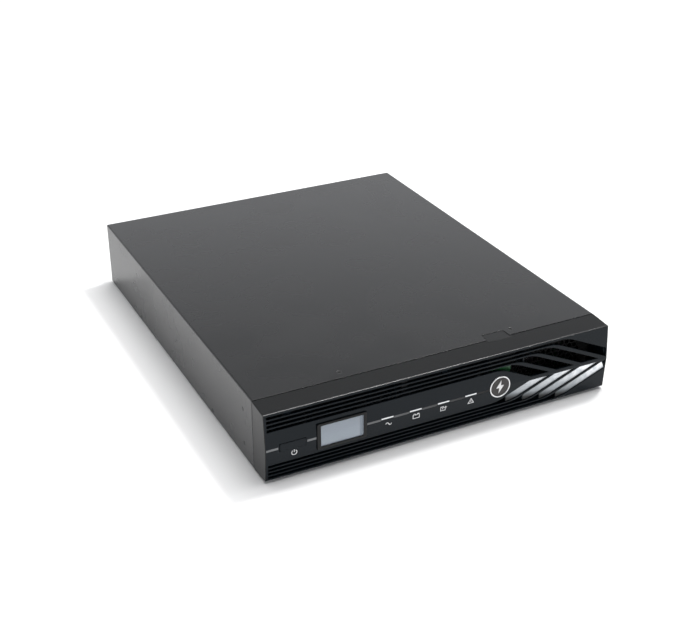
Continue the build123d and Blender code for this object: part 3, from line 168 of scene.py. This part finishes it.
def metal(name, colour, rough, scratch=0.3, edge=0.3e-3, stretch=(1.0, 1.0, 1.0)):
    """Bare metal: faint drawn lines along the axis with the smallest stretch."""
    m = Nodes(name)
    drawn = m.new("ShaderNodeMapping", inputs={"Vector": m.space, "Scale": stretch})
    inputs = {"Vector": drawn.outputs["Vector"], "Scale": 900.0, "Detail": 4.0, "Roughness": 0.6}
    lines = m.new("ShaderNodeTexNoise", inputs=inputs).outputs["Fac"]
    broad = m.noise(20.0, 2.0)
    dark = shade(colour, 1 - scratch * 0.5)
    m.set(Base_Color=m.mix(m.ramp(lines, 0.0, 1.0, 0.35, 0.65), dark, colour))
    m.set(Roughness=m.ramp(broad, rough * 0.85, rough * 1.15, 0.3, 0.7), Metallic=1.0)
    m.bump(lines, 12e-6, edge=edge)
    return m.material


COVER_PAINT = moulded(
    "cover_paint", grey(0.012, 0.1), 0.27, grain=1100.0, depth=12e-6, spread=0.2, edge=0.8e-3
)
# near-black paint on the inner steel behind the bezel; its darkness is partly painted shade, standing in
# for the shade seen through the bezel's slots
INNER_BLACK = moulded(
    "inner_black", grey(0.006), 0.55, grain=1100.0, depth=30e-6, spread=0.2, Specular_IOR_Level=0.3
)
GALVANISED = metal("galvanised_steel", grey(0.55, 0.03), 0.42, scratch=0.35)
ZINC = metal("zinc_screw", grey(0.62, 0.02), 0.3, scratch=0.2)
BLACK_OXIDE = moulded(
    "black_oxide", grey(0.05), 0.3, grain=2500.0, depth=10e-6, spread=0.2, edge=0.2e-3, Metallic=0.8
)
BRASS = metal("brass", rgb(0.72, 0.5, 0.22), 0.3, scratch=0.25)
WIRE = metal("plated_steel", grey(0.66, 0.02), 0.25, scratch=0.2, edge=0.6e-3)
ALUMINIUM = metal("extruded_aluminium", grey(0.72, 0.02), 0.38, stretch=(1.0, 0.02, 1.0))
COPPER = metal("copper_wire", rgb(0.6, 0.24, 0.1), 0.34, scratch=0.4, stretch=(0.2, 1.0, 1.0))
BLACK_NYLON = moulded("black_nylon", grey(0.014), 0.46, grain=2200.0, spread=0.2)
FAN_PLASTIC = moulded("fan_plastic", grey(0.012), 0.5, grain=1500.0, depth=40e-6, spread=0.25)
DISPLAY_BLACK = moulded(
    "display_black", grey(0.003, 0.2), 0.14, grain=900.0, depth=3e-6, spread=0.05, Specular_IOR_Level=0.25
)
BATTERY_PLASTIC = moulded(
    "battery_plastic", grey(0.06, 0.12), 0.5, grain=700.0, depth=50e-6, edge=0.8e-3
)
WHITE_PLASTIC = moulded(
    "white_plastic", grey(0.8), 0.4, grain=1500.0, depth=10e-6, spread=0.03, edge=0.2e-3
)
NATURAL_NYLON = moulded("natural_nylon", rgb(0.62, 0.6, 0.52), 0.45, grain=900.0, spread=0.06)
RELAY_PLASTIC = moulded(
    "relay_plastic", rgb(0.02, 0.05, 0.16), 0.3, grain=900.0, depth=10e-6, spread=0.08
)
GREEN_PLASTIC = moulded("green_plastic", rgb(0.02, 0.2, 0.05), 0.42, grain=1200.0, spread=0.1)
CHIP_EPOXY = moulded("chip_epoxy", grey(0.02), 0.55, grain=3000.0, spread=0.2, edge=0.2e-3)
CAN_SLEEVE = moulded(
    "can_sleeve", rgb(0.006, 0.009, 0.03), 0.22, grain=600.0, depth=8e-6, spread=0.1
)
FERRITE = moulded("ferrite", grey(0.035), 0.6, grain=900.0, depth=80e-6, spread=0.3, edge=0.6e-3)
CABLE_BLACK = moulded("cable_black", grey(0.012), 0.4, grain=1500.0, depth=10e-6, spread=0.1)
CABLE_RED = moulded(
    "cable_red", rgb(0.3, 0.008, 0.006), 0.4, grain=1500.0, depth=10e-6, spread=0.1
)
RIBBON = moulded("ribbon_cable", grey(0.015), 0.45, grain=500.0, depth=10e-6, spread=0.1)
DISC_BLACK = moulded(
    "disc_black", rgb(0.014, 0.011, 0.010), 0.25, grain=900.0, depth=3e-6, spread=0.05, edge=0.2e-3
)
WHITE_INK = moulded(
    "white_ink", grey(0.75), 0.5, grain=4000.0, depth=4e-6, spread=0.06, edge=0.0
)
RING_SILVER = metal("ring_silver", grey(0.85, 0.01), 0.3, scratch=0.08, edge=0.2e-3)
TERMINAL_TIN = metal("tinned_terminal", grey(0.6, 0.02), 0.35)


def circuit_board(name, colour):
    """Solder mask over copper tracks, with a glossy surface."""
    m = Nodes(name)
    inputs = {"Vector": m.space, "Scale": 160.0}
    cells = m.new("ShaderNodeTexVoronoi", feature="DISTANCE_TO_EDGE", inputs=inputs)
    line = m.ramp(cells.outputs["Distance"], 1.0, 0.0, 0.02, 0.06)
    m.set(Base_Color=m.mix(line, colour, shade(colour, 2.2)))
    m.set(Roughness=m.ramp(m.noise(60.0), 0.25, 0.4))
    m.bump(line, 20e-6, edge=0.2e-3)
    return m.material


# the bezel's top front edge, behind its crease and below its highest point
TOP_EDGE_BACK, TOP_EDGE_DOWN = 3.2 * MM, 1.8 * MM
# where the coarser skin starts, below the top edge and in from the sides, and where it is full
TOP_SKIN, SIDE_SKIN = (0.7 * MM, 0.3 * MM), (1.1 * MM, 0.7 * MM)
# how far behind the top edge its glossy rim starts to fade and is gone, and its extra gloss
RIM_END, RIM_GLOSS = (0.7 * MM, 1.1 * MM), 0.7


def bezel_plastic():
    """Satin black moulding with a coarser skin on its top strip and its sides."""
    m = Nodes("bezel_plastic")
    low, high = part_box("front_bezel")
    edge_y, edge_z = low.y + TOP_EDGE_BACK, high.z - TOP_EDGE_DOWN
    place = m.place()
    top = m.ramp(place["Z"], 0.0, 1.0, *[edge_z - reach for reach in TOP_SKIN])
    out = m.calc("ABSOLUTE", place["X"])
    side = m.ramp(out, 0.0, 1.0, *[high.x - reach for reach in SIDE_SKIN])
    skin = m.calc("MAXIMUM", top, side)
    fine = m.noise(1800.0)
    face = m.mix(fine, grey(0.003, 1.6), grey(0.0045, 1.6))
    coarse = m.mix(fine, grey(0.004, 0.15), grey(0.010, 0.15))
    front = m.ramp(place["Y"], RIM_GLOSS, 0.0, *[edge_y + reach for reach in RIM_END])
    rim = m.calc("MULTIPLY", top, front)
    m.set(Base_Color=m.mix(skin, face, coarse), Roughness=m.ramp(skin, 0.2, 0.3))
    m.set(Specular_IOR_Level=m.calc("ADD", m.ramp(skin, 0.17, 0.3), rim))
    m.bump(fine, 6e-6, edge=1e-3)
    return m.material


# the strips' colour fades along a line that rises by this slope and passes through this place
FADE_SLOPE, FADE_X, FADE_Z = 0.2021, 89.3 * MM, 20.0 * MM
# heights above that line: from black to darker silver, and from darker to lighter silver
FADE_START, FADE_REST = (2.5 * MM, 10.0 * MM), (6.0 * MM, 40.0 * MM)


def accent_silver():
    """The strips' silver colour, black towards the lower left and lighter towards the upper right."""
    m = Nodes("accent_silver")
    place = m.place()
    across = m.calc("MULTIPLY_ADD", place["X"], FADE_SLOPE, -FADE_SLOPE * FADE_X - FADE_Z)
    height = m.calc("ADD", across, place["Z"])
    fade = m.ramp(height, 0.0, 1.0, *FADE_START)
    rise = m.ramp(height, 0.0, 1.0, *FADE_REST)
    grain = m.noise(2600.0, 2.0)
    mottle = m.ramp(m.noise(150.0, 2.0), 0.0, 1.0, 0.36, 0.6)
    # the colour grows lighter with height above the fade line, towards the upper right
    dull = m.mix(grain, rgb(0.24, 0.265, 0.28), rgb(0.29, 0.31, 0.325))
    shiny = m.mix(mottle, rgb(0.6, 0.63, 0.66), rgb(0.88, 0.9, 0.92))
    silver = m.mix(rise, dull, shiny)
    m.set(Base_Color=m.mix(fade, grey(0.006, 0.1), silver))
    m.set(Metallic=m.ramp(fade, 0.0, 0.8), Roughness=0.3)
    m.bump(grain, 4e-6, edge=0.3e-3)
    return m.material


LINE_FADE = (-150.0 * MM, 60.0 * MM)  # from silver to black, along X


def crease_silver():
    """The bright line in the crease, whose colour grows darker to the right."""
    m = Nodes("crease_silver")
    fade = m.ramp(m.place()["X"], 1.0, 0.0, *LINE_FADE)
    grain = m.noise(2600.0, 2.0)
    silver = m.mix(grain, grey(0.14, 0.06), grey(0.2, 0.06))
    m.set(Base_Color=m.mix(fade, grey(0.01), silver), Metallic=0.7, Roughness=0.4)
    m.bump(grain, 4e-6, edge=0.2e-3)
    return m.material


# the painted shadow along the panel's right edge reaches this far in from its right side
PANEL_SHADE = (4.5 * MM, 3.0 * MM)  # the panel's darker edge, in from its right side


def lit_panel():
    """The display's lit liquid crystal panel, with painted light towards its bottom and a painted shadow
    along its right edge.
    """
    m = Nodes("lit_panel")
    low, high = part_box("display_panel")
    place = m.place()
    painted_bottom_light = m.ramp(place["Z"], 1.0, 0.0, low.z, high.z)
    edge = m.ramp(place["X"], 0.0, 1.0, *[high.x - reach for reach in PANEL_SHADE])
    haze = m.noise(40.0, 2.0)
    panel = m.mix(haze, rgb(0.19, 0.215, 0.24), rgb(0.22, 0.245, 0.27))
    # painted light: lighter towards the panel's bottom
    panel = m.mix(m.ramp(painted_bottom_light, 0.0, 0.5), panel, rgb(0.3, 0.33, 0.36))
    # painted shadow: darker along the panel's right edge
    panel = m.mix(m.ramp(edge, 0.0, 0.5), panel, rgb(0.1, 0.12, 0.14))
    m.set(Base_Color=panel, Roughness=m.ramp(haze, 0.2, 0.3))
    m.set(Emission_Color=panel, Emission_Strength=0.4)
    return m.material


def clear_window():
    """Clear, faintly uneven acrylic, with a low index so that it shows little glare."""
    m = Nodes("clear_window")
    smear = m.noise(60.0, 2.0)
    m.set(Base_Color=rgb(0.97, 0.98, 1.0), Roughness=m.ramp(smear, 0.01, 0.04))
    m.set(Transmission_Weight=1.0, IOR=1.1)
    m.bump(smear, 2e-6)
    return m.material


def light_pipe():
    """Milky plastic with light behind it."""
    m = Nodes("light_pipe")
    haze = m.noise(300.0, 2.0)
    glow = m.mix(haze, grey(0.74, 0.03), grey(0.84, 0.03))
    m.set(Base_Color=glow, Roughness=0.3, Emission_Color=glow, Emission_Strength=0.08)
    m.bump(haze, 4e-6, edge=0.2e-3)
    return m.material


GREEN_BOARD = circuit_board("green_solder_mask", rgb(0.006, 0.055, 0.016))
DARK_BOARD = circuit_board("dark_solder_mask", rgb(0.004, 0.012, 0.008))
BEZEL_PLASTIC = bezel_plastic()
ACCENT = accent_silver()
CREASE = crease_silver()
PANEL = lit_panel()
WINDOW = clear_window()
PIPE = light_pipe()

LOOKS = {
    "top_cover": COVER_PAINT,
    "case_screws": BLACK_OXIDE,
    "chassis_base": GALVANISED,
    "front_bulkhead": INNER_BLACK,
    "peg_bushes": NATURAL_NYLON,
    "bay_partition": GALVANISED,
    "front_bezel": BEZEL_PLASTIC,
    "crease_line": CREASE,
    "indicator_light_pipes": PIPE,
    "accent_strips": ACCENT,
    "badge_ring": RING_SILVER,
    "badge_disc": DISC_BLACK,
    "badge_bolt_symbol": WHITE_PLASTIC,
    "display_frame": DISPLAY_BLACK,
    "display_window": WINDOW,
    "display_panel": PANEL,
    "display_board": DARK_BOARD,
    "badge_light_board": GREEN_BOARD,
    "face_board_screws": ZINC,
    "display_plug": BLACK_NYLON,
    "display_ribbon": RIBBON,
    "display_socket": BLACK_NYLON,
    "power_button": BEZEL_PLASTIC,
    "power_switch": CHIP_EPOXY,
    "battery_tray": INNER_BLACK,
    "tray_thumb_screws": ZINC,
    "batteries": BATTERY_PLASTIC,
    "battery_terminals": TERMINAL_TIN,
    "battery_wires": CABLE_RED,
    "battery_plug": BLACK_NYLON,
    "battery_socket": BLACK_NYLON,
    "rear_panel": COVER_PAINT,
    "fan_frames": FAN_PLASTIC,
    "fan_rotor_left": FAN_PLASTIC,
    "fan_rotor_right": FAN_PLASTIC,
    "fan_guards": WIRE,
    "fan_screws": ZINC,
    "mains_inlet": BLACK_NYLON,
    "mains_inlet_pins": BRASS,
    "outlet_strips": BLACK_NYLON,
    "breaker_body": BLACK_NYLON,
    "breaker_button": WHITE_PLASTIC,
    "ground_stud": ZINC,
    "ground_nuts": BRASS,
    "card_bay_cover": COVER_PAINT,
    "card_bay_thumb_screws": ZINC,
    "data_sockets": TERMINAL_TIN,
    "surge_protected_jacks": BLACK_NYLON,
    "emergency_off_header": GREEN_PLASTIC,
    "main_board": GREEN_BOARD,
    "power_board": GREEN_BOARD,
    "board_standoffs": BRASS,
    "round_head_screws": ZINC,
    "heat_sinks": ALUMINIUM,
    "power_transistors": CHIP_EPOXY,
    "bus_capacitors": CAN_SLEEVE,
    "ferrite_cores": FERRITE,
    "windings": COPPER,
    "output_relays": RELAY_PLASTIC,
    "inner_cables": CABLE_BLACK,
}
for node, material in LOOKS.items():
    mesh = nodes[node].data
    mesh.materials.clear()
    mesh.materials.append(material)

# ---------------------------------------------------------------- printed symbols
LINE_DEPTH = 0.1 * MM  # how far the crease line lies below the crease
FACE_Y, FACE_CREASE_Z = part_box("crease_line")[0].y - LINE_DEPTH, 43.2 * MM
LOWER_SLOPE = 2.3 / 39.6  # how far the lower half of the face leans back, per unit down
INK = 0.08 * MM  # how far the ink stands on the face, and reaches into it
MITRE_LIMIT = 0.35  # the smallest cosine that a corner's reach is divided by


def face_point(x, z, lift):
    """A point on the lower half of the bezel's face, lifted off it."""
    return Vector((x, FACE_Y + (FACE_CREASE_Z - z) * LOWER_SLOPE - lift, z))


def stroke(bm, points, width, closed):
    """A flat printed line with mitred corners, given in metres across and up on the face."""
    points = [Vector(p) for p in points]
    count = len(points)
    rims = []
    for k, here in enumerate(points):
        before = points[k - 1] if closed or k > 0 else None
        after = points[(k + 1) % count] if closed or k < count - 1 else None
        ways = [(b - a).normalized() for a, b in ((before, here), (here, after)) if a and b]
        normals = [Vector((-w.y, w.x)) for w in ways]
        middle = sum(normals, Vector((0, 0))).normalized()
        reach = width / 2 / max(middle.dot(normals[0]), MITRE_LIMIT)
        sides = (here + middle * reach, here - middle * reach)
        corners = [face_point(side.x, side.y, lift) for lift in (INK, -INK) for side in sides]
        rims.append([bm.verts.new(corner) for corner in corners])
    spans = count if closed else count - 1
    for k in range(spans):
        a, b = rims[k], rims[(k + 1) % count]
        for i, j in ((0, 1), (1, 3), (3, 2), (2, 0)):
            bm.faces.new((a[i], a[j], b[j], b[i]))
    if not closed:
        for rim in (rims[0], rims[-1]):
            bm.faces.new((rim[0], rim[1], rim[3], rim[2]))


def print_symbol(name, centre, width, lines):
    """One printed symbol: lines of millimetre points about its centre, each (points, closed)."""
    bm = bmesh.new()
    for points, closed in lines:
        placed = [((centre[0] + x) * MM, (centre[1] + z) * MM) for x, z in points]
        stroke(bm, placed, width * MM, closed)
    bmesh.ops.recalc_face_normals(bm, faces=bm.faces)
    mesh = bpy.data.meshes.new(name)
    bm.to_mesh(mesh)
    bm.free()
    piece = bpy.data.objects.new(name, mesh)
    scene.collection.objects.link(piece)
    mesh.materials.append(WHITE_INK)
    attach(piece, "bezel")


def arc(radius, first, last):
    """Points on an arc about the centre, with angles in degrees."""
    count = 24
    angles = [math.radians(first + (last - first) * k / count) for k in range(count + 1)]
    return [(radius * math.cos(a), radius * math.sin(a)) for a in angles]


def wave(reach, height):
    """Points on one full wave about the centre."""
    count = 20
    turns = [k / count for k in range(count + 1)]
    return [(reach * (2 * t - 1), height * math.sin(2 * math.pi * t)) for t in turns]


def battery_outline():
    """A low box with two terminals on top, mirrored about its middle."""
    half = [(1.3, 1.6), (1.3, 2.9), (3.1, 2.9), (3.1, 1.6), (3.9, 1.6), (3.9, -2.8)]
    return half + [(-x, z) for x, z in reversed(half)]


# name: centre, line width and lines, in millimetres on the face
SYMBOLS = {
    "symbol_power": (
        (-185.5, 32.0),
        0.85,
        [(arc(3.0, 125, 415), False), ([(0, 0.4), (0, 3.9)], False)],
    ),
    "symbol_mains": ((-72.5, 35.3), 0.85, [(wave(3.6, 1.6), False)]),
    "symbol_battery": ((-38.0, 35.3), 0.75, [(battery_outline(), True)]),
    "symbol_load": (
        (-3.5, 35.5),
        0.7,
        [
            ([(0.6, 2.2), (-3.4, 2.2), (-3.4, -2.8), (2.6, -2.8), (2.6, -0.6)], False),
            ([(-1.2, -1.0), (-1.2, 0.7), (3.6, 0.7)], False),
            ([(2.2, 2.4), (4.0, 0.7), (2.2, -1.0)], False),
        ],
    ),
    "symbol_fault": (
        (32.5, 35.2),
        0.75,
        [([(-3.6, -2.8), (3.6, -2.8), (0, 3.2)], True), ([(0, -1.6), (0, 0.8)], False)],
    ),
}
for name, (centre, width, lines) in SYMBOLS.items():
    print_symbol(name, centre, width, lines)


# ---------------------------------------------------------------- studio
FLOOR_REACH = 8.0  # metres from the middle to each side
SKY_TINT = rgb(0.96, 0.97, 1.0)
SKY_BAND, SKY_STRENGTH = (0.37, 0.52), (1.25, 0.08)  # sine of the elevation, and strength there


def make_floor():
    """A wide, pale, matt floor."""
    bm = bmesh.new()
    bmesh.ops.create_grid(bm, x_segments=4, y_segments=4, size=FLOOR_REACH)
    mesh = bpy.data.meshes.new("studio_floor")
    bm.to_mesh(mesh)
    bm.free()
    floor = bpy.data.objects.new("studio_floor", mesh)
    scene.collection.objects.link(floor)
    m = Nodes("studio_paper")
    m.set(Base_Color=m.mix(m.noise(3.0), grey(0.86), grey(0.88)), Roughness=0.9)
    mesh.materials.append(m.material)


def make_world():
    """Pale surroundings, bright up to a band above the horizon and dim over it."""
    world = bpy.data.worlds.new("studio")
    scene.world = world
    world.use_nodes = True
    tree = world.node_tree
    background = tree.nodes["Background"]
    place = tree.nodes.new("ShaderNodeTexCoord")
    parts = tree.nodes.new("ShaderNodeSeparateXYZ")
    tree.links.new(place.outputs["Generated"], parts.inputs["Vector"])
    ramp = tree.nodes.new("ShaderNodeMapRange")
    tree.links.new(parts.outputs["Z"], ramp.inputs["Value"])
    sockets = ("From Min", "From Max", "To Min", "To Max")
    for socket, value in zip(sockets, SKY_BAND + SKY_STRENGTH):
        ramp.inputs[socket].default_value = value
    tree.links.new(ramp.outputs["Result"], background.inputs["Strength"])
    background.inputs["Color"].default_value = SKY_TINT


def soft_light(name, place, aim, size, power):
    """A square area light facing a point."""
    data = bpy.data.lights.new(name, "AREA")
    data.size = size
    data.energy = power
    light = bpy.data.objects.new(name, data)
    scene.collection.objects.link(light)
    light.location = place
    light.rotation_mode = "QUATERNION"
    light.rotation_quaternion = (Vector(aim) - Vector(place)).to_track_quat("-Z", "Y")


make_floor()
make_world()
soft_light("key", place=(0.6, 0.3, 4.0), aim=(0.2, 0.1, 0), size=3.4, power=185.0)
soft_light("glint", place=(1.6, 0.5, 3.4), aim=(-0.1, -0.27, 0.08), size=0.4, power=60.0)
scene.view_settings.view_transform = "Standard"
scene.view_settings.look = "None"
